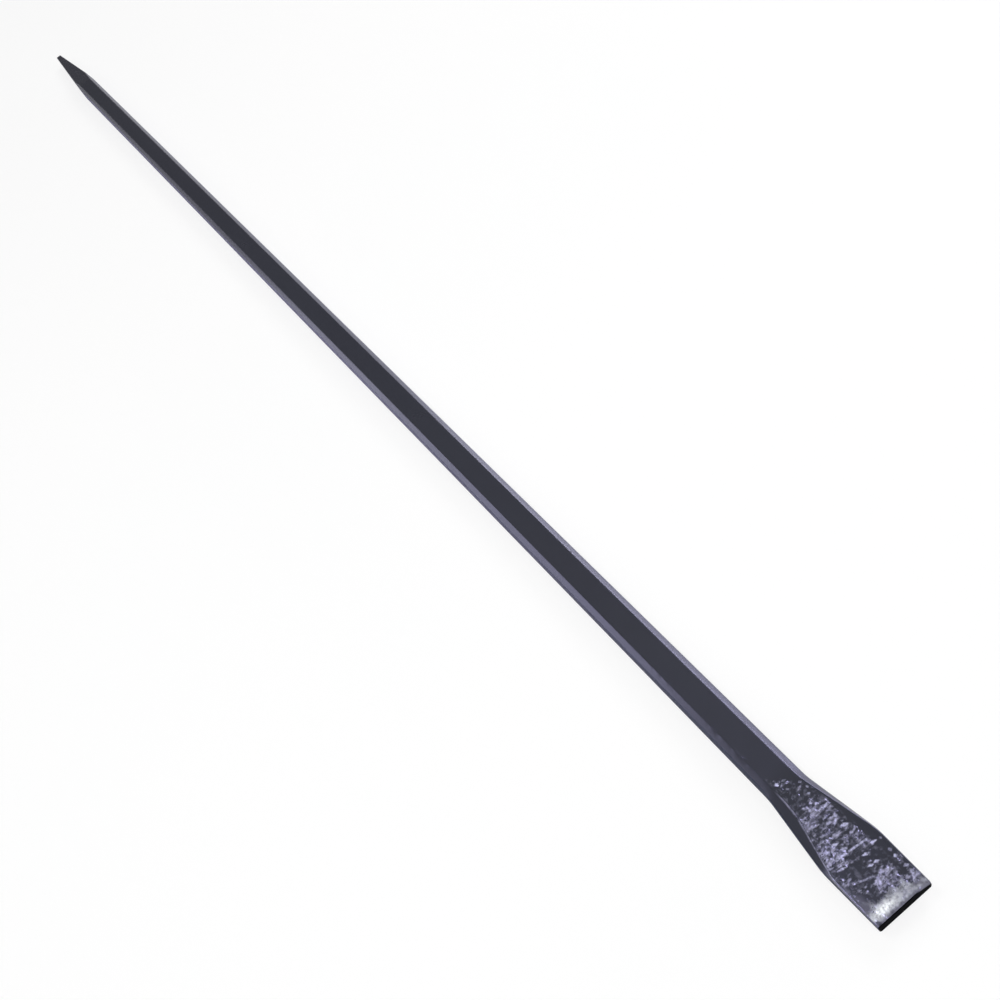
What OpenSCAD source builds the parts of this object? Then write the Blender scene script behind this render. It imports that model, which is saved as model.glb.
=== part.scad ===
// Digging bar of chamfered square steel, with a chisel blade at one end and a four-sided point at the other.
// It lies along X on one of its flats, blade towards +X, centred on X and Y, with the ground at z = 0.
// Sections are drawn as [across, up] from the bar's own axis.

/* [Bar] */
// Length over all, from the tip of the point to the edge of the blade
bar_length = 1800; // [1200:1:2200]
// Size of the bar across its flats
across_flats = 25; // [20:0.5:40]
// Leg of the chamfer along each corner of the bar
corner_chamfer = 4.2; // [1.5:0.1:6]
// Radius of the arrises between flats and chamfers
arris_radius = 1; // [0.2:0.1:1.5]

/* [Chisel blade] */
// Length of the forged end, from the first dent in the shank to the edge
blade_length = 112; // [95:1:220]
// Width of the blade at its shoulders
blade_width = 40; // [32:0.5:80]
// Width of the blade at its edge
edge_width = 39.2; // [28:0.1:80]
// Distance that the sides run on straight before they spread
spread_delay = 6; // [0:1:15]
// Length over which the sides spread to the blade's width
spread_length = 63; // [40:1:80]
// Distance that the two broad faces keep the shank's width before they spread
face_delay = 13; // [0:1:20]
// Length over which the broad faces then spread to the sides
face_spread_length = 62; // [40:1:75]
// Thickness where the forged taper ends and the ground bevel begins
bevel_thickness = 10.5; // [7:0.1:16]
// Length of the bevel ground on both faces behind the edge
bevel_length = 18; // [6:1:30]
// Thickness of the blunt edge
edge_thickness = 6.5; // [2:0.1:7]
// Width of a broken corner where the sides and the edge meet the faces
edge_break = 0.5; // [0.2:0.1:0.8]

/* [Point] */
// Length of the taper, from the last full section of the shank to the tip
point_length = 170; // [60:1:260]
// Width of the blunt square tip
tip_width = 7; // [3:0.5:12]
// Size of the small bevel round the tip
tip_break = 1.2; // [0.3:0.1:1.4]

/* [Hidden] */

// Facets in the quarter of a circle that an arris follows
arris_steps = 3;
// Cross-sections along the forged part of the blade
forged_steps = 28;
// Shares of a run over which a spreading side, a spreading face and the taper ease in and out
side_ease_share = 0.15;
face_ease_share = 0.3;
taper_ease_share = 0.3;
// Largest share of a section's half thickness that a chamfer takes
chamfer_wall_share = 0.75;
// Distance by which a cutting shape passes what it cuts
overrun = 5;

half_flats = across_flats / 2;
shank_face_half = half_flats - corner_chamfer;
shank_chamfer_width = norm([corner_chamfer, corner_chamfer]);
forged_length = blade_length - bevel_length;
shoulder_along = spread_delay + spread_length;
tip_x = -bar_length / 2;
shank_start_x = tip_x + point_length;
blade_start_x = bar_length / 2 - blade_length;
shank_length = blade_start_x - shank_start_x;

bar_paint = [0.23, 0.24, 0.27];
blade_paint = [0.30, 0.31, 0.36];

// Goes from 0 to 1 along p, starting slowly over ease_in and ending slowly over ease_out
function eased_ramp(p, ease_in, ease_out) =
    let (slope = 1 / (1 - (ease_in + ease_out) / 2))
    p <= 0 ? 0
    : p >= 1 ? 1
    : p < ease_in ? slope * p * p / (2 * ease_in)
    : p > 1 - ease_out ? 1 - slope * (1 - p) * (1 - p) / (2 * ease_out)
    : slope * (p - ease_in / 2);

function mix(from, to, share) = from + (to - from) * share;

function unit(v) = v / norm(v);

function turned(v, angle) =
    [v.x * cos(angle) - v.y * sin(angle), v.x * sin(angle) + v.y * cos(angle)];

// Points of the arc that rounds an outline's corner, for an outline that runs anticlockwise
function rounded_corner(before, here, after, radius) =
    let (
        inward = unit(unit(before - here) + unit(after - here)),
        half_turn = 90 - acos(unit(before - here) * inward),
        centre = here + inward * radius / cos(half_turn)
    )
    [for (i = [0 : arris_steps])
        centre + radius * turned(-inward, half_turn * (2 * i / arris_steps - 1))];

// A flat bar's section: half its width and thickness, and half the width of its broad faces.
// chamfer_depth is how far each corner's chamfer reaches down the side.
function bar_section(half_width, half_thickness, face_half, chamfer_depth) =
    let (
        side = half_thickness - chamfer_depth,
        corners = [
            [half_width, -side], [half_width, side], [face_half, half_thickness],
            [-face_half, half_thickness], [-half_width, side], [-half_width, -side],
            [-face_half, -half_thickness], [face_half, -half_thickness]
        ],
        count = len(corners),
        chamfer_width = norm([half_width - face_half, chamfer_depth]),
        radius = arris_radius * min(1, chamfer_width / shank_chamfer_width)
    )
    [for (i = [0 : count - 1])
        each rounded_corner(
            corners[(i + count - 1) % count], corners[i], corners[(i + 1) % count], radius)];

shank_section = bar_section(half_flats, half_flats, shank_face_half, corner_chamfer);

// The blade's forms at a distance along it from the shank
function side_half(along) =
    along <= shoulder_along
    ? mix(half_flats, blade_width / 2,
        eased_ramp((along - spread_delay) / spread_length, side_ease_share, side_ease_share))
    : mix(blade_width / 2, edge_width / 2,
        (along - shoulder_along) / (blade_length - shoulder_along));

function face_half(along) =
    mix(shank_face_half, side_half(max(along, shoulder_along)) - edge_break,
        eased_ramp((along - face_delay) / face_spread_length, face_ease_share, face_ease_share));

function half_thickness(along) =
    along <= forged_length
    ? mix(half_flats, bevel_thickness / 2, eased_ramp(along / forged_length, taper_ease_share, 0))
    : mix(bevel_thickness / 2, edge_thickness / 2, (along - forged_length) / bevel_length);

// The face never reaches past the side less its broken corner, so a chamfer is left at each station,
// and the chamfer is limited by the thickness, so a flat of the side is left too
function blade_section(along, inset) =
    let (
        side = side_half(along),
        thick = half_thickness(along),
        face = min(face_half(along), side - edge_break),
        depth = min(
            max(corner_chamfer * thick / half_flats, edge_break),
            (thick - inset) * chamfer_wall_share)
    )
    bar_section(side - inset, thick - inset, face - inset, depth);

// Distances along the blade of its cross-sections: evenly through the forged part, then the bevel's end
blade_stations = concat(
    [for (i = [0 : forged_steps]) forged_length * i / forged_steps],
    [blade_length - edge_break, blade_length]);

blade_insets = [for (along = blade_stations) along == blade_length ? edge_break : 0];

// A solid through a row of sections that all have the same number of points
module loft_along_x(stations, sections) {
    around = len(sections[0]);
    last = len(stations) - 1;
    corners = [for (i = [0 : last]) for (p = sections[i]) [stations[i], p.x, p.y]];
    walls = [for (i = [0 : last - 1]) for (j = [0 : around - 1])
        let (
            near = i * around + j,
            near_next = i * around + (j + 1) % around,
            far = near + around,
            far_next = near_next + around
        )
        each [[near, far, far_next], [near, far_next, near_next]]];
    start_cap = [for (j = [0 : around - 1]) j];
    end_cap = [for (j = [around - 1 : -1 : 0]) last * around + j];
    polyhedron(points = corners, faces = concat([start_cap], walls, [end_cap]), convexity = 4);
}

// Full bar stock from x = 0 towards +X
module stock(length) {
    rotate([90, 0, 90]) linear_extrude(height = length) polygon(shank_section);
}

// Plan of the point's taper, from the tip at x = 0 to past the full section
module taper_plan() {
    taper_slope = (half_flats - tip_width / 2) / (point_length - tip_break);
    past_half = half_flats + taper_slope * overrun;
    tip_half = tip_width / 2;
    polygon([
        [0, tip_half - tip_break], [tip_break, tip_half], [point_length + overrun, past_half],
        [point_length + overrun, -past_half], [tip_break, -tip_half], [0, tip_break - tip_half]
    ]);
}

module taper_wedge() {
    linear_extrude(height = across_flats + 2 * overrun, center = true) taper_plan();
}

module shank() {
    color(bar_paint)
        translate([shank_start_x, 0, half_flats]) stock(shank_length);
}

module chisel_blade() {
    color(blade_paint)
        translate([blade_start_x, 0, half_flats])
            loft_along_x(
                blade_stations,
                [for (i = [0 : len(blade_stations) - 1])
                    blade_section(blade_stations[i], blade_insets[i])]);
}

module point() {
    color(bar_paint)
        translate([tip_x, 0, half_flats])
            intersection() {
                stock(point_length);
                taper_wedge();
                rotate([90, 0, 0]) taper_wedge();
            }
}

shank();
chisel_blade();
point();
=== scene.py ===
import math

import bmesh
import bpy
from mathutils import Matrix, Vector


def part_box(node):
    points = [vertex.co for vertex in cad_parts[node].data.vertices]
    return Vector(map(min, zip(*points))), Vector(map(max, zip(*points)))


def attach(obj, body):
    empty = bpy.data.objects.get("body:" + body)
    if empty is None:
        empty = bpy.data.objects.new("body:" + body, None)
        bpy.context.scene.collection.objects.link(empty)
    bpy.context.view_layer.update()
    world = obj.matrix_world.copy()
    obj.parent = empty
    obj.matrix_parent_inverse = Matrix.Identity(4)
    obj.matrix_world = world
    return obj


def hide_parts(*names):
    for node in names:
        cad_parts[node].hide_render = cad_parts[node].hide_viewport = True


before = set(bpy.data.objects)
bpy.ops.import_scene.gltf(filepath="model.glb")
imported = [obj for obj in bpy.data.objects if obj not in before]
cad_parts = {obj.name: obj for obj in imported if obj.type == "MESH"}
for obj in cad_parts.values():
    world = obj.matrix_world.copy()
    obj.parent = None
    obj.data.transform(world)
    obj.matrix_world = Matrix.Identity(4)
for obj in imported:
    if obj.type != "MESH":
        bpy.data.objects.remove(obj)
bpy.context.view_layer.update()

scene = bpy.context.scene
scene.view_settings.view_transform = "Standard"

# Shank: the straight length of the bar that the hands hold.
# Steel rolled to a square section with chamfered corners, under one coat of semi-gloss blue-black enamel.
# It is drawn as rings of the rolled section along the bar, then waved by a hair as rolled stock is.
shank_low, shank_high = (Vector(corner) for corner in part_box("shank"))
ACROSS_FLATS = shank_high.z - shank_low.z
HALF_FLATS = ACROSS_FLATS / 2
AXIS_HEIGHT = (shank_low.z + shank_high.z) / 2
CORNER_CHAMFER = 0.0042
ARRIS_RADIUS = 0.0010
SHANK_RING_SPACING = 0.006
ROLLING_WAVE_DEPTH = 0.00006
ROLLING_WAVE_LENGTH = 0.045
WAVE_FADE = 0.03
NICKED_LENGTH = 0.16
NICKED_RING_SPACING = 0.0012
NICK_DEPTH = 0.0004
NICK_LENGTH = 0.006
ENAMEL_BLUE_BLACK = (0.0292, 0.0308, 0.0385, 1.0)
ENAMEL_DUSTY = (0.0375, 0.0392, 0.0480, 1.0)
ENAMEL_SHEEN_TINT = (0.58, 0.56, 1.0, 1.0)
ENAMEL_IOR = 1.95


def bar_ring(sides, half_thick, face_edges, chamfer_depth, arris_radius, counts):
    """Points of one section, anticlockwise seen from +X, as (across, up) from the bar's axis.
    sides and face_edges are how far the sides and the broad faces reach to the left and to the right,
    and counts gives the steps along a side, a chamfer, a broad face and an arris."""
    side_steps, chamfer_steps, face_steps, arris_steps = counts
    side_left, side_right = sides
    face_left, face_right = face_edges
    side_up = half_thick - chamfer_depth
    corners = [
        Vector((side_right, -side_up)), Vector((side_right, side_up)),
        Vector((face_right, half_thick)), Vector((-face_left, half_thick)),
        Vector((-side_left, side_up)), Vector((-side_left, -side_up)),
        Vector((-face_left, -half_thick)), Vector((face_right, -half_thick)),
    ]
    runs = [side_steps, chamfer_steps, face_steps, chamfer_steps] * 2
    arcs = []
    for index, here in enumerate(corners):
        to_before = (corners[index - 1] - here).normalized()
        to_after = (corners[(index + 1) % len(corners)] - here).normalized()
        inward = (to_before + to_after).normalized()
        half_turn = math.pi / 2 - math.acos(max(-1.0, min(1.0, to_before.dot(inward))))
        centre = here + inward * (arris_radius / math.cos(half_turn))
        arc = []
        for step in range(arris_steps + 1):
            turn = Matrix.Rotation(half_turn * (2 * step / arris_steps - 1), 2)
            arc.append(centre + turn @ (-inward * arris_radius))
        arcs.append(arc)
    ring = []
    for index, arc in enumerate(arcs):
        ring += arc
        start = arc[-1]
        end = arcs[(index + 1) % len(arcs)][0]
        steps = runs[index]
        ring += [start.lerp(end, step / steps) for step in range(1, steps)]
    return ring


def ring_zones(counts):
    """Names the zone of each point of a ring: a side, a chamfer, a face, or the arris between two of them."""
    side_steps, chamfer_steps, face_steps, arris_steps = counts
    zones = []
    for quarter in ("right", "left"):
        over = "top" if quarter == "right" else "bottom"
        for zone, arris, steps in (
                (quarter + " side", quarter + " side arris", side_steps),
                ("chamfer", quarter + " side arris", chamfer_steps),
                (over + " face", over + " arris before", face_steps),
                ("chamfer", over + " arris after", chamfer_steps)):
            zones += [arris] * (arris_steps + 1) + [zone] * (steps - 1)
    return zones


def bar_tube(name, stations, rings):
    """An open tube of quads through rings of equal count, as an object that stays at the origin."""
    around = len(rings[0])
    points = []
    for station, ring in zip(stations, rings):
        points += [(station, p.x, AXIS_HEIGHT + p.y) for p in ring]
    quads = []
    for row in range(len(stations) - 1):
        for column in range(around):
            near = row * around + column
            near_next = row * around + (column + 1) % around
            quads.append((near, near_next, near_next + around, near + around))
    mesh = bpy.data.meshes.new(name)
    mesh.from_pydata(points, [], quads)
    mesh.update()
    tube = bpy.data.objects.new(name, mesh)
    scene.collection.objects.link(tube)
    return tube


def mark_points(tube, name, values):
    """Keeps one number at each point of a tube, for its skin and its paint to read."""
    tube.data.attributes.new(name, "FLOAT", "POINT").data.foreach_set("value", values)


def evenly(start, end, spacing):
    """Distances from start to end at about the given spacing."""
    steps = max(1, round(abs(end - start) / spacing))
    return [start + (end - start) * step / steps for step in range(steps + 1)]


# Noise of all the skins: how fine it is, and the value about which it goes up and down
SKIN_DETAIL = 2.0
NOISE_MIDDLE = 0.5


class SkinTree:
    """A Geometry Nodes tree that moves a surface along its normal, built one named input at a time."""

    def __init__(self, name, numbers):
        self.tree = bpy.data.node_groups.new(name, "GeometryNodeTree")
        self.socket_ids = {}
        self.add_input("Geometry", "NodeSocketGeometry")
        for number in numbers:
            self.add_input(number, "NodeSocketFloat")
        self.add_input("Seed", "NodeSocketFloat")
        self.add_input("Material", "NodeSocketMaterial")
        self.tree.interface.new_socket(name="Geometry", in_out="OUTPUT", socket_type="NodeSocketGeometry")
        self.inlet = self.node("NodeGroupInput").outputs
        self.position = self.node("GeometryNodeInputPosition").outputs[0]
        self.surface = self.inlet["Geometry"]

    def add_input(self, name, socket_type):
        socket = self.tree.interface.new_socket(name=name, in_out="INPUT", socket_type=socket_type)
        self.socket_ids[name] = socket.identifier

    def node(self, kind, **settings):
        made = self.tree.nodes.new(kind)
        for key, value in settings.items():
            setattr(made, key, value)
        return made

    def feed(self, socket, value):
        if isinstance(value, bpy.types.NodeSocket):
            self.tree.links.new(value, socket)
        else:
            socket.default_value = value

    def math(self, operation, *values):
        made = self.node("ShaderNodeMath", operation=operation)
        for socket, value in zip(made.inputs, values):
            self.feed(socket, value)
        return made.outputs[0]

    def vector(self, operation, *values):
        made = self.node("ShaderNodeVectorMath", operation=operation)
        for socket, value in zip(made.inputs, values):
            self.feed(socket, value)
        return made.outputs["Value" if operation == "DOT_PRODUCT" else "Vector"]

    def scaled(self, vector, factor):
        made = self.node("ShaderNodeVectorMath", operation="SCALE")
        self.feed(made.inputs[0], vector)
        self.feed(made.inputs["Scale"], factor)
        return made.outputs[0]

    def place(self, size, seed_share, stretch=(1.0, 1.0, 1.0)):
        """The point's position in units of size, moved on by a share of the seed."""
        stretched = self.vector("MULTIPLY", self.position, stretch)
        in_sizes = self.scaled(stretched, self.math("DIVIDE", 1.0, size))
        return self.vector("ADD", in_sizes, self.math("MULTIPLY", self.inlet["Seed"], seed_share))

    def noise(self, place):
        made = self.node("ShaderNodeTexNoise")
        self.feed(made.inputs["Vector"], place)
        made.inputs["Scale"].default_value = 1.0
        made.inputs["Detail"].default_value = SKIN_DETAIL
        return made.outputs["Fac"]

    def swing(self, place, size):
        """Noise that goes up and down about nothing, by half of size each way."""
        return self.math("MULTIPLY", self.math("SUBTRACT", self.noise(place), NOISE_MIDDLE), size)

    def step(self, value, low, high):
        """Goes smoothly from 0 at low to 1 at high."""
        made = self.node("ShaderNodeMapRange", interpolation_type="SMOOTHSTEP")
        self.feed(made.inputs["Value"], value)
        self.feed(made.inputs["From Min"], low)
        self.feed(made.inputs["From Max"], high)
        return made.outputs["Result"]

    def marked(self, name):
        made = self.node("GeometryNodeInputNamedAttribute", data_type="FLOAT")
        made.inputs["Name"].default_value = name
        return made.outputs["Attribute"]

    def keep(self, name, value):
        """Writes a number to each point, for the paint to read."""
        made = self.node("GeometryNodeStoreNamedAttribute", data_type="FLOAT", domain="POINT")
        made.inputs["Name"].default_value = name
        self.feed(made.inputs["Geometry"], self.surface)
        self.feed(made.inputs["Value"], value)
        self.surface = made.outputs["Geometry"]

    def close(self, height):
        """Moves each point along its normal by height, then realizes and paints the result."""
        moved = self.node("GeometryNodeSetPosition")
        realized = self.node("GeometryNodeRealizeInstances")
        painted = self.node("GeometryNodeSetMaterial")
        out = self.node("NodeGroupOutput")
        link = self.tree.links.new
        link(self.surface, moved.inputs["Geometry"])
        link(self.scaled(self.node("GeometryNodeInputNormal").outputs[0], height), moved.inputs["Offset"])
        link(moved.outputs["Geometry"], realized.inputs["Geometry"])
        link(realized.outputs["Geometry"], painted.inputs["Geometry"])
        link(self.inlet["Material"], painted.inputs["Material"])
        link(painted.outputs["Geometry"], out.inputs["Geometry"])


WAVE_SEED_SHARE = 1.0
NICK_SEED_SHARE = 1.3
NICK_STEP = (0.48, 0.70)


def rolled_skin_tree():
    """Long shallow waves, as rolled stock has, and small nicks along the arrises that are marked."""
    skin = SkinTree("rolled_skin", ("Wave Depth", "Wave Length", "Nick Depth", "Nick Length"))
    inlet = skin.inlet
    swell = skin.swing(skin.place(inlet["Wave Length"], WAVE_SEED_SHARE), inlet["Wave Depth"])
    wave = skin.math("MULTIPLY", swell, skin.marked("waved"))
    bites = skin.step(skin.noise(skin.place(inlet["Nick Length"], NICK_SEED_SHARE)), *NICK_STEP)
    nick = skin.math("MULTIPLY", skin.math("MULTIPLY", bites, inlet["Nick Depth"]), skin.marked("nicked"))
    skin.close(skin.math("SUBTRACT", wave, nick))
    return skin


def skinned(tube, skin, settings):
    """Runs the tree on the tube, keeps the result as a plain mesh and closes both ends with flat caps."""
    modifier = tube.modifiers.new(skin.tree.name, "NODES")
    modifier.node_group = skin.tree
    for name, value in settings.items():
        modifier[skin.socket_ids[name]] = value
    evaluated = tube.evaluated_get(bpy.context.evaluated_depsgraph_get())
    plain = bpy.data.meshes.new_from_object(evaluated)
    tube.modifiers.remove(modifier)
    tube.data = plain
    bm = bmesh.new()
    bm.from_mesh(plain)
    rims = [edge for edge in bm.edges if edge.is_boundary]
    for face in bm.faces:
        face.smooth = True
    caps = bmesh.ops.holes_fill(bm, edges=rims, sides=0)["faces"]
    for face in caps:
        face.smooth = False
    for edge in rims:
        edge.smooth = False
    bmesh.ops.recalc_face_normals(bm, faces=bm.faces)
    bm.to_mesh(plain)
    bm.free()
    plain.name = tube.name
    return tube


class Paint:
    """A node material whose shader sockets hold plain values unless a pattern feeds them."""

    def __init__(self, name):
        self.material = bpy.data.materials.new(name)
        self.material.use_nodes = True
        self.nodes = self.material.node_tree.nodes
        self.links = self.material.node_tree.links
        self.shader = self.nodes["Principled BSDF"]
        self.coords = self.nodes.new("ShaderNodeTexCoord").outputs["Object"]

    def set(self, **values):
        for name, value in values.items():
            self.shader.inputs[name.replace("_", " ")].default_value = value

    def marked(self, name):
        made = self.nodes.new("ShaderNodeAttribute")
        made.attribute_name = name
        return made.outputs["Fac"]

    def noise(self, scale, detail, stretch=(1.0, 1.0, 1.0)):
        mapping = self.nodes.new("ShaderNodeMapping")
        mapping.inputs["Scale"].default_value = stretch
        self.links.new(self.coords, mapping.inputs["Vector"])
        made = self.nodes.new("ShaderNodeTexNoise")
        made.inputs["Scale"].default_value = scale
        made.inputs["Detail"].default_value = detail
        self.links.new(mapping.outputs[0], made.inputs["Vector"])
        return made.outputs["Fac"]

    def axis(self, name):
        """The place along one axis of the object."""
        made = self.nodes.new("ShaderNodeSeparateXYZ")
        self.links.new(self.coords, made.inputs[0])
        return made.outputs[name]

    def give(self, socket, value):
        """Links a pattern to a socket, or sets a plain value on it."""
        if isinstance(value, bpy.types.NodeSocket):
            self.links.new(value, socket)
        else:
            socket.default_value = value

    def math(self, operation, *values):
        made = self.nodes.new("ShaderNodeMath")
        made.operation = operation
        for socket, value in zip(made.inputs, values):
            self.give(socket, value)
        return made.outputs[0]

    def share(self, operation, *values):
        """A sum or product that is kept between 0 and 1."""
        made = self.math(operation, *values)
        made.node.use_clamp = True
        return made

    def ramp(self, factor, stops):
        made = self.nodes.new("ShaderNodeValToRGB")
        made.color_ramp.elements[0].position = stops[0][0]
        made.color_ramp.elements[0].color = stops[0][1]
        made.color_ramp.elements[1].position = stops[-1][0]
        made.color_ramp.elements[1].color = stops[-1][1]
        for place, colour in stops[1:-1]:
            made.color_ramp.elements.new(place).color = colour
        self.links.new(factor, made.inputs["Fac"])
        return made.outputs["Color"]

    def map_range(self, value, **limits):
        made = self.nodes.new("ShaderNodeMapRange")
        self.links.new(value, made.inputs["Value"])
        for name, limit in limits.items():
            self.give(made.inputs[name.replace("_", " ").title()], limit)
        return made.outputs["Result"]

    def between(self, value, low, high):
        """Goes from 0 at low to 1 at high."""
        return self.map_range(value, from_min=low, from_max=high)

    def spread(self, factor, low, high):
        """Turns a factor of 0 to 1 into a value between low and high, which may be patterns themselves."""
        return self.map_range(factor, to_min=low, to_max=high)

    def broken(self, mark, pattern, limits):
        """A mark that is broken up by a pattern and kept between 0 and 1."""
        return self.share("MULTIPLY", mark, self.spread(pattern, *limits))

    def blend(self, factor, below, above):
        """Lays one colour over another."""
        made = self.nodes.new("ShaderNodeMix")
        made.data_type = "RGBA"
        self.links.new(factor, made.inputs["Factor"])
        for name, colour in (("A", below), ("B", above)):
            self.give([s for s in made.inputs if s.name == name and s.type == "RGBA"][0], colour)
        return [s for s in made.outputs if s.type == "RGBA"][0]

    def bump(self, height, depth, strength):
        made = self.nodes.new("ShaderNodeBump")
        made.inputs["Distance"].default_value = depth
        made.inputs["Strength"].default_value = strength
        self.links.new(height, made.inputs["Height"])
        self.links.new(made.outputs["Normal"], self.shader.inputs["Normal"])

    def feed(self, socket_name, output):
        self.links.new(output, self.shader.inputs[socket_name])


# The bar's sides are rubbed dull where it is laid down and slid about; their colour is painted sheen, a blue
# tint near the blade that grows lighter and more lavender towards the point
SIDE_ROUGHNESS = (0.8, 1.0)
SIDE_GLOSS_LEVEL = 0.2
SIDE_SHEEN_FROM = 0.80
SIDE_SHEEN_TO = 0.22
SIDE_BLUE_SHEEN = (0.022, 0.030, 0.052, 1.0)
SIDE_LAVENDER_SHEEN = (0.165, 0.160, 0.255, 1.0)
# Patterns of the enamel: scale and detail of each noise, and how it is stretched
CLOUD_NOISE = (9.0, 3.0, (0.25, 1.0, 1.0))
CLEAN_STOP = 0.35
DUSTY_STOP = 0.7
GLOSS_NOISE = (60.0, 4.0)
ENAMEL_ROUGHNESS = (0.22, 0.29)
GRAIN_NOISE = (420.0, 3.0)
GRAIN_DEPTH = 0.00012
GRAIN_STRENGTH = 0.25


def clouded(paint):
    """The enamel's own colour, with clouds of dust in it."""
    stops = [(CLEAN_STOP, ENAMEL_BLUE_BLACK), (DUSTY_STOP, ENAMEL_DUSTY)]
    return paint.ramp(paint.noise(*CLOUD_NOISE), stops)


def grained(paint):
    """Gives a paint the enamel's fine grain and its sheen."""
    paint.bump(paint.noise(*GRAIN_NOISE), GRAIN_DEPTH, GRAIN_STRENGTH)
    paint.set(IOR=ENAMEL_IOR, Specular_Tint=ENAMEL_SHEEN_TINT)
    return paint.material


def bar_enamel():
    paint = Paint("bar_enamel")
    paint.feed("Base Color", clouded(paint))
    paint.feed("Roughness", paint.spread(paint.noise(*GLOSS_NOISE), *ENAMEL_ROUGHNESS))
    return grained(paint)


def side_enamel():
    paint = Paint("side_enamel")
    # Painted sheen: the sides' colour goes from the blue tint at the blade end to pale lavender towards the
    # point
    painted_sheen = paint.between(paint.axis("X"), SIDE_SHEEN_FROM, SIDE_SHEEN_TO)
    paint.feed("Base Color", paint.ramp(painted_sheen, [(0.0, SIDE_BLUE_SHEEN), (1.0, SIDE_LAVENDER_SHEEN)]))
    paint.feed("Roughness", paint.spread(paint.noise(*GLOSS_NOISE), *SIDE_ROUGHNESS))
    paint.set(Specular_IOR_Level=SIDE_GLOSS_LEVEL)
    return grained(paint)


def dull_sides(piece, zones):
    """Paints both sides with the dull enamel, out to the arrises where the chamfers begin."""
    piece.data.materials.append(SIDE_ENAMEL)
    sideways = ["side" in zone and "side" in after for zone, after in zip(zones, zones[1:] + zones[:1])]
    for face in piece.data.polygons:
        if len(face.vertices) == 4 and sideways[face.index % len(zones)]:
            face.material_index = len(piece.data.materials) - 1


def mark_rolled(tube, zones, stations):
    """Marks a rolled length's nicks, and fades its waves out at both ends so that lengths meet flush."""
    waved = []
    for station in stations:
        to_end = min(station - stations[0], stations[-1] - station)
        waved += [min(1.0, to_end / WAVE_FADE)] * len(zones)
    mark_points(tube, "waved", waved)
    nicked = []
    for station in stations:
        near_blade = max(0.0, 1 - (shank_high.x - station) / NICKED_LENGTH)
        nicked += [near_blade if zone.endswith("arris after") else 0.0 for zone in zones]
    mark_points(tube, "nicked", nicked)


BAR_ENAMEL = bar_enamel()
SIDE_ENAMEL = side_enamel()
SHANK_COUNTS = (6, 3, 8, 5)
SHANK_FACE = HALF_FLATS - CORNER_CHAMFER
shank_ring = bar_ring(
    (HALF_FLATS, HALF_FLATS), HALF_FLATS, (SHANK_FACE, SHANK_FACE),
    CORNER_CHAMFER, ARRIS_RADIUS, SHANK_COUNTS)
nicked_from = shank_high.x - NICKED_LENGTH
rolled_zones = ring_zones(SHANK_COUNTS)
shank_stations = evenly(shank_low.x, nicked_from, SHANK_RING_SPACING)[:-1]
shank_stations += evenly(nicked_from, shank_high.x, NICKED_RING_SPACING)
shank_tube = bar_tube("bar_shank", shank_stations, [shank_ring] * len(shank_stations))
mark_rolled(shank_tube, rolled_zones, shank_stations)
rolled_skin = rolled_skin_tree()
rolled_settings = {
    "Wave Depth": ROLLING_WAVE_DEPTH, "Wave Length": ROLLING_WAVE_LENGTH,
    "Nick Depth": NICK_DEPTH, "Nick Length": NICK_LENGTH, "Seed": 3.0, "Material": BAR_ENAMEL}
shank = skinned(shank_tube, rolled_skin, rolled_settings)
dull_sides(shank, rolled_zones)
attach(shank, "root")
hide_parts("shank")

# Chisel blade: the end that breaks ground and roots.
# The same steel, spread and thinned hot under a hammer, ground blunt at its edge, then enamelled over.
# Rings follow the spread and the taper, and the tree below beats dents and scale into the two broad faces.
blade_low, blade_high = (Vector(corner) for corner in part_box("chisel_blade"))
BLADE_LENGTH = blade_high.x - blade_low.x
BLADE_WIDTH = blade_high.y - blade_low.y
EDGE_WIDTH = 0.0392
LEFT_DELAY = 0.001
LEFT_SPREAD = 0.067
RIGHT_DELAY = 0.0135
RIGHT_SPREAD = 0.061
RUNOUT_DELAY = 0.010
RUNOUT_LENGTH = 0.066
FACE_DELAY = 0.0225
FACE_SPREAD_LENGTH = 0.058
BEVEL_LENGTH = 0.018
BEVEL_THICKNESS = 0.0105
EDGE_THICKNESS = 0.0065
EDGE_BREAK = 0.0005
SIDE_EASE = 0.15
FACE_EASE = 0.3
FACE_END_EASE = 0.15
TAPER_EASE = 0.3
BLADE_RING_SPACING = 0.00040
BLADE_COUNTS = (6, 8, 100, 4)
FORGED_LENGTH = BLADE_LENGTH - BEVEL_LENGTH


def eased_ramp(p, ease_in, ease_out):
    """Goes from 0 to 1 along p, slowly over the first and the last share."""
    slope = 1 / (1 - (ease_in + ease_out) / 2)
    if p <= 0:
        return 0.0
    if p >= 1:
        return 1.0
    if p < ease_in:
        return slope * p * p / (2 * ease_in)
    if p > 1 - ease_out:
        return 1 - slope * (1 - p) ** 2 / (2 * ease_out)
    return slope * (p - ease_in / 2)


def mixed(start, end, share):
    return start + (end - start) * share


def flank(along, delay, length):
    """How far a side reaches from the axis: it spreads after a delay, then draws in a little to the edge."""
    spread_end = delay + length
    if along <= spread_end:
        spread = eased_ramp((along - delay) / length, SIDE_EASE, SIDE_EASE)
        return mixed(HALF_FLATS, BLADE_WIDTH / 2, spread)
    return mixed(BLADE_WIDTH / 2, EDGE_WIDTH / 2, (along - spread_end) / (BLADE_LENGTH - spread_end))


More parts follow.
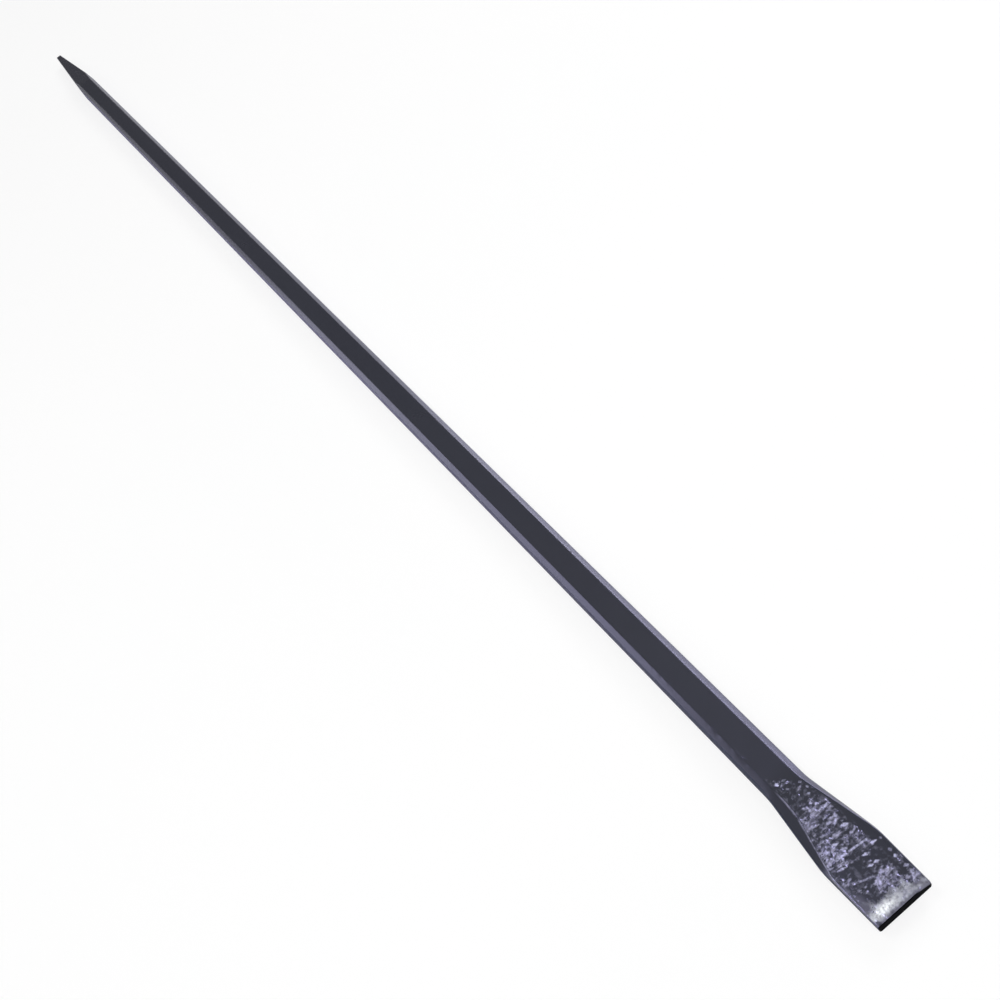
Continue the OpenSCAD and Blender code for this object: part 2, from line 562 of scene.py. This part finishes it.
def blade_ring(along, inset=0.0):
    left = flank(along, LEFT_DELAY, LEFT_SPREAD)
    right = flank(along, RIGHT_DELAY, RIGHT_SPREAD)
    face_spread = eased_ramp((along - FACE_DELAY) / FACE_SPREAD_LENGTH, FACE_EASE, FACE_END_EASE)
    face_left = min(mixed(SHANK_FACE, BLADE_WIDTH / 2 - EDGE_BREAK, face_spread), left - EDGE_BREAK)
    runout = max(0.0, min(1.0, (along - RUNOUT_DELAY) / RUNOUT_LENGTH))
    face_right = right - mixed(CORNER_CHAMFER, EDGE_BREAK, runout)
    if along <= FORGED_LENGTH:
        taper = eased_ramp(along / FORGED_LENGTH, TAPER_EASE, 0)
        thick = mixed(HALF_FLATS, BEVEL_THICKNESS / 2, taper)
    else:
        bevelled = (along - FORGED_LENGTH) / BEVEL_LENGTH
        thick = mixed(BEVEL_THICKNESS / 2, EDGE_THICKNESS / 2, bevelled)
    depth = max(CORNER_CHAMFER * thick / HALF_FLATS, EDGE_BREAK)
    chamfer_width = math.hypot(right - face_right, depth)
    radius = ARRIS_RADIUS * min(1.0, chamfer_width / math.hypot(CORNER_CHAMFER, CORNER_CHAMFER))
    sides = (left - inset, right - inset)
    face_edges = (face_left - inset, face_right - inset)
    return bar_ring(sides, thick - inset, face_edges, depth, radius, BLADE_COUNTS)


# How the beaten patterns are stretched along and across the blade, and set apart from each other by the seed
FACET_STRETCH = (1.25, 0.8, 0.6)
BUMP_STRETCH = (1.3, 0.8, 0.6)
PATCH_STRETCH = (1.3, 0.8, 0.5)
FLECK_STRETCH = (1.3, 0.75, 0.5)
FACET_SEED_SHARE = 1.0
BUMP_SEED_SHARE = 2.7
PATCH_SEED_SHARE = 1.7
FLECK_SEED_SHARE = 3.1
BEATEN_WAVE_SEED_SHARE = 0.6
# What makes up the scale: its patches and its flecks, less where the face is less forged
PATCH_SHARE = 0.4
FLECK_SHARE = 0.6
LACK_SHARE = 0.36
SCALE_STEP = (0.41, 0.58)
CELL_STEP = (0.2, 0.9)


def forged_skin_tree():
    """Patches of scale and hammer facets on a smoother ground, with struck spots and die marks.
    Each facet is a cell of a Voronoi pattern that is tilted its own way and holds its own share of scale."""
    skin = SkinTree("forged_skin", (
        "Patch Size", "Fleck Size", "Facet Size", "Facet Tilt", "Bump Size", "Bump Height",
        "Wave Depth", "Wave Length", "Die Step", "Sink", "Spot Rise"))
    inlet = skin.inlet
    on_face = skin.marked("on face")
    facet_place = skin.place(inlet["Facet Size"], FACET_SEED_SHARE, FACET_STRETCH)
    cells = skin.node("ShaderNodeTexVoronoi", voronoi_dimensions="3D", feature="F1")
    cells.inputs["Scale"].default_value = 1.0
    skin.feed(cells.inputs["Vector"], facet_place)
    lean = skin.vector("SUBTRACT", cells.outputs["Color"], (NOISE_MIDDLE, NOISE_MIDDLE, NOISE_MIDDLE))
    away = skin.vector("SUBTRACT", facet_place, cells.outputs["Position"])
    slope = skin.math("MULTIPLY", skin.vector("DOT_PRODUCT", away, lean), inlet["Facet Tilt"])
    facets = skin.math("MULTIPLY", slope, inlet["Facet Size"])
    grain = skin.swing(skin.place(inlet["Bump Size"], BUMP_SEED_SHARE, BUMP_STRETCH), inlet["Bump Height"])
    broad = skin.noise(skin.place(inlet["Patch Size"], PATCH_SEED_SHARE, PATCH_STRETCH))
    flecked = skin.noise(skin.place(inlet["Fleck Size"], FLECK_SEED_SHARE, FLECK_STRETCH))
    mottle = skin.math(
        "ADD", skin.math("MULTIPLY", broad, PATCH_SHARE), skin.math("MULTIPLY", flecked, FLECK_SHARE))
    lack = skin.math("MULTIPLY", skin.math("SUBTRACT", 1.0, skin.marked("forged")), LACK_SHARE)
    patch = skin.math("MULTIPLY", skin.step(skin.math("SUBTRACT", mottle, lack), *SCALE_STEP), on_face)
    swell = skin.swing(skin.place(inlet["Wave Length"], BEATEN_WAVE_SEED_SHARE), inlet["Wave Depth"])
    wave = skin.math("MULTIPLY", swell, on_face)
    rough = skin.math("SUBTRACT", skin.math("ADD", facets, grain), inlet["Sink"])
    spots = skin.math("MULTIPLY", skin.marked("struck"), inlet["Spot Rise"])
    marks = skin.math("MULTIPLY", skin.marked("die mark"), inlet["Die Step"])
    beaten = skin.math("MULTIPLY", skin.math("SUBTRACT", spots, marks), on_face)
    cell_shares = skin.node("ShaderNodeSeparateXYZ")
    skin.feed(cell_shares.inputs[0], cells.outputs["Color"])
    skin.keep("scaly", patch)
    skin.keep("fleck", skin.step(cell_shares.outputs["Z"], *CELL_STEP))
    skin.close(skin.math("ADD", skin.math("MULTIPLY", rough, patch), skin.math("ADD", wave, beaten)))
    return skin


# Pale lavender of the scale: partly its own colour, partly painted sheen standing in for the glints of its
# facets
SCALE_AND_SHEEN_LAVENDER = (0.328, 0.325, 0.442, 1.0)
WORN_AND_HIGHLIGHT_LAVENDER = (0.22, 0.22, 0.305, 1.0)
PAINTED_GLINT = (0.50, 0.50, 0.71, 1.0)
GROUND_DULL = (0.205, 0.205, 0.25, 1.0)
GROUND_PALE = (0.42, 0.435, 0.49, 1.0)
HOT_SPOT_WHITE = (0.93, 0.96, 0.97, 1.0)
SMOOTH_GREY = (0.090, 0.088, 0.120, 1.0)
FORGED_GLOSS = 0.17
SCALE_ROUGHNESS = 0.28
# Patterns that break up the blade's marks: scale and detail of each noise, and the values it spreads over
SPECKLE_NOISE = (750.0, 3.0, (1.1, 0.9, 1.0))
VEIL_NOISE = (330.0, 3.0)
WEAR_HIGHLIGHT_NOISE = (260.0, 2.0)
FRAYED_NOISE = (620.0, 3.0)
RAGGED_NOISE = (300.0, 4.0)
FLECK_HELD = (0.05, 0.85)
SPECKLE_HELD = (-0.75, 0.80)
VEIL_SPREAD = (-0.70, 0.68)
WEAR_HIGHLIGHT_SPREAD = (-1.2, 2.8)
FRAYED_SPREAD = (-1.3, 3.1)
RAGGED_SPREAD = (-3.2, 0.0)
BARED_SPREAD = (0.0, 2.7)
HOT_SPOT_SPREAD = (-0.9, 2.8)
DULL_STOP = 0.35
PALE_STOP = 0.62


def forged_enamel():
    """Enamel, and over it scale whose lavender is partly painted sheen, wear with a painted highlight on the
    left arris, painted glints on struck spots and die marks, ground steel with a painted hot spot, and grey
    steel.
    """
    paint = Paint("forged_enamel")
    marked = paint.marked
    speckle = paint.noise(*SPECKLE_NOISE)
    hammered = paint.math("MULTIPLY", marked("forged"), marked("on face"))
    # Partly painted sheen: the scale's lavender veils the hammered faces
    veil = paint.broken(hammered, paint.noise(*VEIL_NOISE), VEIL_SPREAD)
    veiled = paint.blend(veil, clouded(paint), SCALE_AND_SHEEN_LAVENDER)
    held = paint.math(
        "ADD", paint.spread(marked("fleck"), *FLECK_HELD), paint.spread(speckle, *SPECKLE_HELD))
    scaly = paint.blend(paint.share("MULTIPLY", marked("scaly"), held), veiled, SCALE_AND_SHEEN_LAVENDER)
    lightened = paint.broken(marked("worn_and_lit"), paint.noise(*WEAR_HIGHLIGHT_NOISE), WEAR_HIGHLIGHT_SPREAD)
    worn_and_lit = paint.blend(lightened, scaly, WORN_AND_HIGHLIGHT_LAVENDER)
    # Painted glints on the struck spots and along the die marks, broken up by noise
    frayed = paint.broken(marked("struck"), paint.noise(*FRAYED_NOISE), FRAYED_SPREAD)
    struck = paint.blend(frayed, worn_and_lit, PAINTED_GLINT)
    steel = paint.ramp(paint.noise(*GRAIN_NOISE), [(DULL_STOP, GROUND_DULL), (PALE_STOP, GROUND_PALE)])
    # Painted hot spot: a near-white highlight laid on the ground steel behind the left half of the edge
    hot_spot = paint.broken(marked("painted_hot_spot"), speckle, HOT_SPOT_SPREAD)
    bare = paint.blend(hot_spot, steel, HOT_SPOT_WHITE)
    ragged = paint.spread(paint.noise(*RAGGED_NOISE), *RAGGED_SPREAD)
    bared = paint.share("ADD", paint.spread(marked("ground"), *BARED_SPREAD), ragged)
    ground = paint.blend(bared, struck, bare)
    paint.feed("Base Color", paint.blend(marked("greyed"), ground, SMOOTH_GREY))
    rolled = paint.spread(paint.noise(*GLOSS_NOISE), *ENAMEL_ROUGHNESS)
    gloss = paint.spread(marked("glossed"), rolled, FORGED_GLOSS)
    paint.feed("Roughness", paint.spread(marked("scaly"), gloss, SCALE_ROUGHNESS))
    return grained(paint)


# End face of the blunt edge: near-black painted shade, and the lighter grey above the line where the shade
# stops
EDGE_SHADE_BLACK = (0.004, 0.004, 0.005, 1.0)
EDGE_ABOVE_SHADE = (0.17, 0.17, 0.22, 1.0)
SHADE_LINE_FROM = 0.009
SHADE_LINE_SLOPE = 0.27
SHADE_LINE_SOFT = 0.0008
EDGE_ROUGHNESS = 0.9
EDGE_GLOSS_LEVEL = 0.04


def edge_painted_shade():
    """Painted shade on the blunt edge: near-black below a line that drops towards the right corner, lighter
    grey above it.
    """
    paint = Paint("edge_painted_shade")
    lip_height = AXIS_HEIGHT + EDGE_THICKNESS / 2
    dropped = paint.math("MULTIPLY", paint.math("SUBTRACT", paint.axis("Y"), SHADE_LINE_FROM), SHADE_LINE_SLOPE)
    height = paint.math("ADD", paint.axis("Z"), dropped)
    lightened = paint.between(height, lip_height, lip_height + SHADE_LINE_SOFT)
    paint.feed("Base Color", paint.blend(lightened, EDGE_SHADE_BLACK, EDGE_ABOVE_SHADE))
    paint.set(Roughness=EDGE_ROUGHNESS, Specular_IOR_Level=EDGE_GLOSS_LEVEL)
    return paint.material


# Where the smith's work lies on a broad face, by distance along the blade and across it:
# where hammering starts, the shoulder that the die missed, and the margin that is left smooth.
START_MIDDLE = 0.0095
START_SLANT = 1.25
START_RUN = 0.005
MISSED_START = 0.022
MISSED_END = 0.088
MISSED_ACROSS = 0.0090
MISSED_SLANT = 0.05
MISSED_RUN = 0.003
MISSED_EASE = 0.007
FACE_MARGIN = 0.0010
START_MARGIN = 0.0020
FACE_TOLERANCE = 1e-6
GLOSS_RUN = 0.015
# The two marks of the die's edges, each with a painted highlight along its line: distance behind the edge,
# slant, left end, right end, how bright
FIRST_MARK = (0.0422, 0.12, -0.0080, 0.0122, 0.60)
SECOND_MARK = (0.0222, 0.39, -0.0125, 0.0010, 0.36)
MARK_ENDS = 0.002
MARK_RUN = 0.0009
MARK_FADE = 0.009
MARK_LINE_HALF = 0.0003
MARK_LINE_SOFT = 0.0006
# How dense the scale is in general, and how much denser it is in some patches:
# along, across, half length, half width, how much denser
SPARSE_SHARE = 0.825
PATCH_SOFT_SHARE = 0.5
SCALE_PATCHES = [
    (0.045, 0.000, 0.014, 0.014, 0.15), (0.060, -0.003, 0.014, 0.014, 0.03),
    (0.067, -0.012, 0.010, 0.011, 0.26), (0.083, 0.007, 0.009, 0.015, -0.10),
    (0.095, 0.005, 0.010, 0.011, 0.39), (0.093, -0.011, 0.007, 0.009, -0.18),
    (0.097, 0.0175, 0.015, 0.0035, -0.10), (0.043, -0.010, 0.007, 0.005, 0.20),
    (0.030, -0.004, 0.007, 0.007, -0.10), (0.079, -0.008, 0.004, 0.009, -0.22),
    (0.087, 0.0115, 0.006, 0.005, -0.30), (0.097, 0.0120, 0.005, 0.0035, -0.35),
    (0.104, 0.0155, 0.006, 0.005, 0.30), (0.092, 0.0165, 0.006, 0.0025, 0.30),
    (0.018, 0.000, 0.012, 0.012, -0.12)]
# Spots that were struck flat and painted bright as glints: along, across, half length, half width, how bright
GLINT_SPOTS = [
    (0.0120, -0.0045, 0.0019, 0.0022, 1.0), (0.0185, -0.0020, 0.0013, 0.0014, 0.5),
    (0.0290, 0.0055, 0.0012, 0.0016, 0.5), (0.0410, 0.0068, 0.0016, 0.0040, 0.7),
    (0.0570, 0.0075, 0.0019, 0.0038, 1.0), (0.0620, -0.0050, 0.0013, 0.0040, 0.8),
    (0.0675, -0.0025, 0.0024, 0.0028, 0.5), (0.0750, -0.0115, 0.0011, 0.0044, 0.8),
    (0.0750, 0.0125, 0.0013, 0.0034, 0.8), (0.0775, 0.0045, 0.0014, 0.0032, 0.9),
    (0.0845, 0.0060, 0.0014, 0.0024, 0.9), (0.0840, 0.0020, 0.0013, 0.0026, 0.8),
    (0.0127, 0.0001, 0.0010, 0.0024, 0.3), (0.0202, 0.0067, 0.0012, 0.0014, 0.4),
    (0.0254, 0.0078, 0.0014, 0.0012, 0.35), (0.0762, 0.0171, 0.0012, 0.0012, 0.4),
    (0.0846, 0.0162, 0.0018, 0.0016, 0.5), (0.0893, 0.0160, 0.0020, 0.0018, 0.6),
    (0.0969, 0.0165, 0.0016, 0.0022, 0.6), (0.1017, 0.0163, 0.0022, 0.0014, 0.4),
    (0.0690, -0.0075, 0.0020, 0.0034, 0.6), (0.0705, -0.0165, 0.0010, 0.0036, 0.5)]
SPOT_SLANT = 0.28
SPOT_CORE_SHARE = 0.45
# Grinding behind the edge: where it starts, where it is rubbed smooth and grey, the painted hot spot of light
# on it, and the left corner of the edge that is left dark
GROUND_START = 0.095
GROUND_RUN = 0.010
GROUND_LEFT_REACH = 0.005
GROUND_LEFT_FROM = 0.010
GROUND_LEFT_RUN = 0.006
GROUND_RIGHT_DELAY = 0.006
GROUND_RIGHT_FROM = 0.0085
GROUND_RIGHT_RUN = 0.004
GREYED_LEFT_SHARE = 0.95
GREYED_LIP_SHARE = 0.74
GREYED_START = 0.089
GREYED_END = 0.1055
GREYED_RUN = 0.005
GREYED_FROM = 0.0118
LIP_WIDTH = 0.0012
LIP_RUN = 0.0016
HOT_SPOT_ACROSS = -0.0097
HOT_SPOT_HALF_WIDTH = 0.0073
HOT_SPOT_BEHIND = 0.0058
HOT_SPOT_HALF_RUN = 0.0024
DARK_CORNER_REACH = 0.0045
# Wear along the left arris, with a painted highlight laid along it, and wear on the margins of the faces near
# the edge
ARRIS_WEAR_HIGHLIGHT_SHARE = 0.8
ARRIS_WEAR_HIGHLIGHT_START = 0.012
ARRIS_WEAR_HIGHLIGHT_END = 0.090
ARRIS_WEAR_HIGHLIGHT_RUN = 0.015
MARGIN_WEAR_SHARE = 0.4
MARGIN_WEAR_START = 0.078
MARGIN_WEAR_RUN = 0.010
MARGIN_WIDTH = 0.004


def eased(value, run):
    p = max(0.0, min(1.0, value / run))
    return p * p * (3 - 2 * p)


def in_patch(patch, along, across, soft_share):
    """1 in the middle of an oval patch, easing to 0 at its rim over the given share of its reach."""
    middle_along, middle_across, half_length, half_width = patch
    reach = math.hypot((along - middle_along) / half_length, (across - middle_across) / half_width)
    return 1 - eased(reach - (1 - soft_share), soft_share)


def from_mark(mark, along, across):
    """Distance past a die mark, which lies askew a given way behind the edge, and how strong it is there."""
    behind_edge, slant, left_end, right_end, _ = mark
    strength = eased(across - left_end, MARK_ENDS) * eased(right_end - across, MARK_ENDS)
    return along - (BLADE_LENGTH - behind_edge + slant * across), strength


def forged_share(along, across):
    started = eased(along - START_MIDDLE - START_SLANT * across, START_RUN)
    past_line = across - MISSED_ACROSS - MISSED_SLANT * (along - MISSED_START)
    missed = eased(along - MISSED_START, MISSED_EASE) * eased(MISSED_END - along, MISSED_EASE)
    density = SPARSE_SHARE
    for *patch, denser in SCALE_PATCHES:
        density += denser * in_patch(patch, along, across, PATCH_SOFT_SHARE)
    return density * started * (1 - missed * eased(past_line, MISSED_RUN))


def struck_glint_share(along, across):
    """How bright the painted glints are at a place: struck spots, each a four-cornered fleck that lies askew,
    and a painted highlight line along each die mark.
    """
    brightest = 0.0
    for spot_along, spot_across, half_length, half_width, bright in GLINT_SPOTS:
        aside = across - spot_across
        reach = abs(along - spot_along - SPOT_SLANT * aside) / half_length + abs(aside) / half_width
        brightest = max(brightest, bright * (1 - eased(reach - SPOT_CORE_SHARE, 1 - SPOT_CORE_SHARE)))
    for mark in (FIRST_MARK, SECOND_MARK):
        past, strength = from_mark(mark, along, across)
        off_line = abs(past - MARK_RUN / 2) - MARK_LINE_HALF
        brightest = max(brightest, mark[-1] * strength * (1 - eased(off_line, MARK_LINE_SOFT)))
    return brightest


def die_mark(along, across):
    depth = 0.0
    for mark in (FIRST_MARK, SECOND_MARK):
        past, strength = from_mark(mark, along, across)
        depth += strength * eased(past, MARK_RUN) * (1 - eased(past - MARK_RUN, MARK_FADE))
    return depth


def kept_share(along, across):
    """0 at the left corner of the edge, which is left dark, 1 away from it."""
    from_corner = math.hypot(along - BLADE_LENGTH, across + EDGE_WIDTH / 2)
    return eased(from_corner - DARK_CORNER_REACH / 2, DARK_CORNER_REACH / 2)


def ground_share(along, across):
    start = GROUND_START - GROUND_LEFT_REACH * eased(-across - GROUND_LEFT_FROM, GROUND_LEFT_RUN)
    start += GROUND_RIGHT_DELAY * eased(across - GROUND_RIGHT_FROM, GROUND_RIGHT_RUN)
    return eased(along - start, GROUND_RUN) * kept_share(along, across)


def greyed_share(along, across):
    """Steel that is rubbed smooth and grey: the left margin behind the painted hot spot, and the lip of the
    edge.
    """
    at_left = eased(along - GREYED_START, GREYED_RUN) * eased(-across - GREYED_FROM, GREYED_RUN)
    at_left *= eased(GREYED_END - along, GREYED_RUN)
    at_lip = 1 - eased(BLADE_LENGTH - along - LIP_WIDTH, LIP_RUN)
    return max(GREYED_LEFT_SHARE * at_left, GREYED_LIP_SHARE * at_lip) * kept_share(along, across)


# How strong the painted hot spot is at a place
def hot_spot_share(along, across):
    off_run = (BLADE_LENGTH - along - HOT_SPOT_BEHIND) / HOT_SPOT_HALF_RUN
    off_width = (across - HOT_SPOT_ACROSS) / HOT_SPOT_HALF_WIDTH
    return math.exp(-off_run ** 2 - off_width ** 2)


def wear_and_highlight_share(zone, along, from_left):
    if zone.endswith("face"):
        started = eased(along - MARGIN_WEAR_START, MARGIN_WEAR_RUN)
        return MARGIN_WEAR_SHARE * started * (1 - eased(from_left, MARGIN_WIDTH))
    # The left arris: wear, with a painted highlight along it
    if zone == "top arris after":
        started = eased(along - ARRIS_WEAR_HIGHLIGHT_START, ARRIS_WEAR_HIGHLIGHT_RUN)
        return ARRIS_WEAR_HIGHLIGHT_SHARE * started * eased(ARRIS_WEAR_HIGHLIGHT_END - along, ARRIS_WEAR_HIGHLIGHT_RUN)
    return 0.0


blade_along = evenly(0.0, BLADE_LENGTH - EDGE_BREAK, BLADE_RING_SPACING) + [BLADE_LENGTH]
blade_rings = [blade_ring(along, EDGE_BREAK if along == BLADE_LENGTH else 0.0) for along in blade_along]
blade_zones = ring_zones(BLADE_COUNTS)
blade_tube = bar_tube("bar_chisel_blade", [blade_low.x + along for along in blade_along], blade_rings)
MARK_NAMES = ("on face", "forged", "die mark", "struck", "ground", "painted_hot_spot", "greyed", "worn_and_lit", "glossed")
marks = {name: [] for name in MARK_NAMES}
for along, ring in zip(blade_along, blade_rings):
    top = max(p.y for p in ring)
    face_right = max(p.x for p in ring if p.y > top - FACE_TOLERANCE)
    face_left = min(p.x for p in ring if p.y > top - FACE_TOLERANCE)
    end_margin = eased(along, START_MARGIN) * eased(BLADE_LENGTH - along, FACE_MARGIN)
    for p, zone in zip(ring, blade_zones):
        on_face = abs(p.y) > top - FACE_TOLERANCE
        inside = min(face_right - p.x, p.x - face_left)
        across = p.x if p.y > 0 else -p.x
        marks["on face"].append(eased(inside, FACE_MARGIN) * end_margin if on_face else 0.0)
        marks["forged"].append(forged_share(along, across))
        marks["die mark"].append(die_mark(along, across))
        marks["struck"].append(struck_glint_share(along, across) if on_face else 0.0)
        marks["ground"].append(ground_share(along, across) if on_face else 0.0)
        marks["painted_hot_spot"].append(hot_spot_share(along, across))
        marks["greyed"].append(greyed_share(along, across) if on_face else 0.0)
        marks["worn_and_lit"].append(wear_and_highlight_share(zone, along, p.x - face_left))
        marks["glossed"].append(eased(along, GLOSS_RUN) if zone != "chamfer" else 0.0)
for name, values in marks.items():
    mark_points(blade_tube, name, values)
blade = skinned(blade_tube, forged_skin_tree(), {
    "Patch Size": 0.0090, "Fleck Size": 0.0025, "Facet Size": 0.0022, "Facet Tilt": 0.34,
    "Bump Size": 0.0022, "Bump Height": 0.00045, "Wave Depth": 0.0002, "Wave Length": 0.022,
    "Die Step": 0.00007, "Sink": 0.00006, "Spot Rise": 0.00012, "Seed": 5.0, "Material": forged_enamel()})
dull_sides(blade, blade_zones)
blade.data.materials.append(edge_painted_shade())
FACING_END = 0.5
# Faces that look out over the edge take the painted shade
for face in blade.data.polygons:
    if face.normal.x > FACING_END:
        face.material_index = len(blade.data.materials) - 1
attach(blade, "root")
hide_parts("chisel_blade")

# Point: the end that splits hard ground.
# The same steel drawn to four flats that run out to a small blunt square, under the same enamel as the shank.
# The four flats cut the bar's chamfers away within the first quarter of the taper.
point_low, point_high = (Vector(corner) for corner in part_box("point"))
POINT_LENGTH = point_high.x - point_low.x
TIP_WIDTH = 0.007
TIP_BREAK = 0.0012
POINT_ARRIS = 0.0006
POINT_RING_SPACING = 0.003


def point_ring(from_tip):
    if from_tip < TIP_BREAK:
        half = TIP_WIDTH / 2 - (TIP_BREAK - from_tip)
    else:
        half = mixed(TIP_WIDTH / 2, HALF_FLATS, (from_tip - TIP_BREAK) / (POINT_LENGTH - TIP_BREAK))
    cut = HALF_FLATS - half
    chamfer = max(CORNER_CHAMFER - 2 * cut, POINT_ARRIS)
    radius = ARRIS_RADIUS * min(1.0, chamfer / CORNER_CHAMFER)
    face = half - chamfer
    return bar_ring((half, half), half, (face, face), chamfer, radius, SHANK_COUNTS)


point_stations = [0.0] + evenly(TIP_BREAK, POINT_LENGTH, POINT_RING_SPACING)
point_tube = bar_tube(
    "bar_point", [point_low.x + s for s in point_stations], [point_ring(s) for s in point_stations])
mark_rolled(point_tube, rolled_zones, point_stations)
point = skinned(point_tube, rolled_skin, rolled_settings)
dull_sides(point, rolled_zones)
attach(point, "root")
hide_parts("point")

# Floor: the plain white ground that the bar lies on.
# It shows white to the eye and in reflections, and keeps part of the bar's soft shadow.
FLOOR_SPAN = 30.0
FLOOR_WHITE = (0.9, 0.9, 0.9, 1.0)
FLOOR_GLOW_SHARE = 0.8
GLOW_WHITE = (1.0, 1.0, 1.0, 1.0)
floor_mesh = bpy.data.meshes.new("floor")
half_span = FLOOR_SPAN / 2
floor_corners = [
    (-half_span, -half_span, 0), (half_span, -half_span, 0),
    (half_span, half_span, 0), (-half_span, half_span, 0)]
floor_mesh.from_pydata(floor_corners, [], [(0, 1, 2, 3)])
floor = bpy.data.objects.new("floor", floor_mesh)
scene.collection.objects.link(floor)
floor_paint = Paint("floor_white")
floor_nodes = floor_paint.nodes
floor_nodes.remove(floor_paint.shader)
matte = floor_nodes.new("ShaderNodeBsdfDiffuse")
matte.inputs["Color"].default_value = FLOOR_WHITE
glow = floor_nodes.new("ShaderNodeEmission")
glow.inputs["Color"].default_value = GLOW_WHITE
rays = floor_nodes.new("ShaderNodeLightPath").outputs
seen = floor_paint.math("MAXIMUM", rays["Is Camera Ray"], rays["Is Glossy Ray"])
seen_or_through = floor_paint.math("MAXIMUM", seen, rays["Is Transmission Ray"])
glow_share = floor_paint.math("MULTIPLY", seen_or_through, FLOOR_GLOW_SHARE)
blend = floor_nodes.new("ShaderNodeMixShader")
floor_paint.links.new(glow_share, blend.inputs["Fac"])
floor_paint.links.new(matte.outputs[0], blend.inputs[1])
floor_paint.links.new(glow.outputs[0], blend.inputs[2])
floor_paint.links.new(blend.outputs[0], floor_nodes["Material Output"].inputs["Surface"])
floor_mesh.materials.append(floor_paint.material)

# Light: a surround that is pale at the horizon and dark overhead, a long soft box low at each side,
# a large one over the camera's shoulder, a small one above the blade, and a fill high at each side.
# The shoulder box and the left fill light the bar without being mirrored in it.
world = bpy.data.worlds.new("studio")
scene.world = world
world.use_nodes = True
world_nodes = world.node_tree.nodes
world_link = world.node_tree.links.new
direction = world_nodes.new("ShaderNodeTexCoord")
split = world_nodes.new("ShaderNodeSeparateXYZ")
world_link(direction.outputs["Generated"], split.inputs[0])
# Stops of the surround: height from the horizon at 0 to overhead at 1, and level
SURROUND_STOPS = [
    (0.0, 0.8), (0.05, 0.34), (0.14, 0.08), (0.24, 0.07), (0.36, 0.10), (0.6, 0.085), (0.8, 0.03)]
rise = world_nodes.new("ShaderNodeValToRGB")
rise.color_ramp.elements.remove(rise.color_ramp.elements[1])
for index, (height, level) in enumerate(SURROUND_STOPS):
    stop = rise.color_ramp.elements[0] if index == 0 else rise.color_ramp.elements.new(height)
    stop.position = height
    stop.color = (level, level, level, 1.0)
world_link(split.outputs["Z"], rise.inputs["Fac"])
world_link(rise.outputs["Color"], world_nodes["Background"].inputs["Color"])


def soft_box(name, place, aim, width, height, watts, mirrored=True):
    lamp = bpy.data.lights.new(name, "AREA")
    lamp.shape = "RECTANGLE"
    lamp.size = width
    lamp.size_y = height
    lamp.energy = watts
    held = bpy.data.objects.new(name, lamp)
    held.location = place
    held.rotation_euler = (Vector(aim) - Vector(place)).to_track_quat("-Z", "Y").to_euler()
    held.visible_camera = False
    held.visible_glossy = mirrored
    scene.collection.objects.link(held)


soft_box("blade_box", place=(0.58, -0.28, 1.45), aim=(0.85, 0.0, 0.0), width=0.30, height=0.40, watts=5.5)
soft_box("left_box", place=(-1.27, -1.5, 0.26), aim=(-1.27, 0.0, 0.10), width=2.05, height=0.42, watts=4.4)
soft_box("right_box", place=(-0.1, 1.5, 0.14), aim=(-0.1, 0.0, 0.05), width=2.2, height=0.24, watts=12.0)
soft_box(
    "shoulder_box", place=(2.6, 0.0, 3.4), aim=(0.2, 0.0, 0.0), width=3.2, height=4.0, watts=112.0,
    mirrored=False)
soft_box(
    "left_fill", place=(-0.8, -2.0, 2.2), aim=(-0.6, 0.0, 0.0), width=2.0, height=1.2, watts=16.0,
    mirrored=False)
soft_box("right_fill", place=(-0.7, 2.0, 2.2), aim=(-0.5, 0.0, 0.0), width=2.0, height=1.2, watts=37.0)

# Camera: a normal lens beyond and above the blade, looking back down along the bar.
# It leans a little to the bar's near side and is turned so that the bar runs corner to corner.
PICTURE_SIDE = 1000
FOCAL_PIXELS = 1305
SENSOR_WIDTH = 36.0
AIM = Vector((0.4494, 0.0, AXIS_HEIGHT))
AIM_DISTANCE = 1.0420
SLANT = math.radians(45.0)
LEAN = math.radians(7.0)
PICTURE_TURN = math.radians(45.1)
forward = Vector((-math.cos(SLANT), 0.0, -math.sin(SLANT)))
down_bar = Vector((math.sin(SLANT), 0.0, -math.cos(SLANT)))
across_bar = Vector((0.0, 1.0, 0.0))
right = math.cos(PICTURE_TURN) * down_bar + math.sin(PICTURE_TURN) * across_bar
up = -math.sin(PICTURE_TURN) * down_bar + math.cos(PICTURE_TURN) * across_bar
lean = Matrix.Rotation(LEAN, 3, "X")
eye = AIM + lean @ (-forward * AIM_DISTANCE)
camera_data = bpy.data.cameras.new("camera")
camera_data.sensor_width = SENSOR_WIDTH
camera_data.lens = SENSOR_WIDTH * FOCAL_PIXELS / PICTURE_SIDE
camera = bpy.data.objects.new("camera", camera_data)
columns = Matrix((lean @ right, lean @ up, lean @ -forward)).transposed()
camera.matrix_world = Matrix.Translation(eye) @ columns.to_4x4()
scene.collection.objects.link(camera)
scene.camera = camera
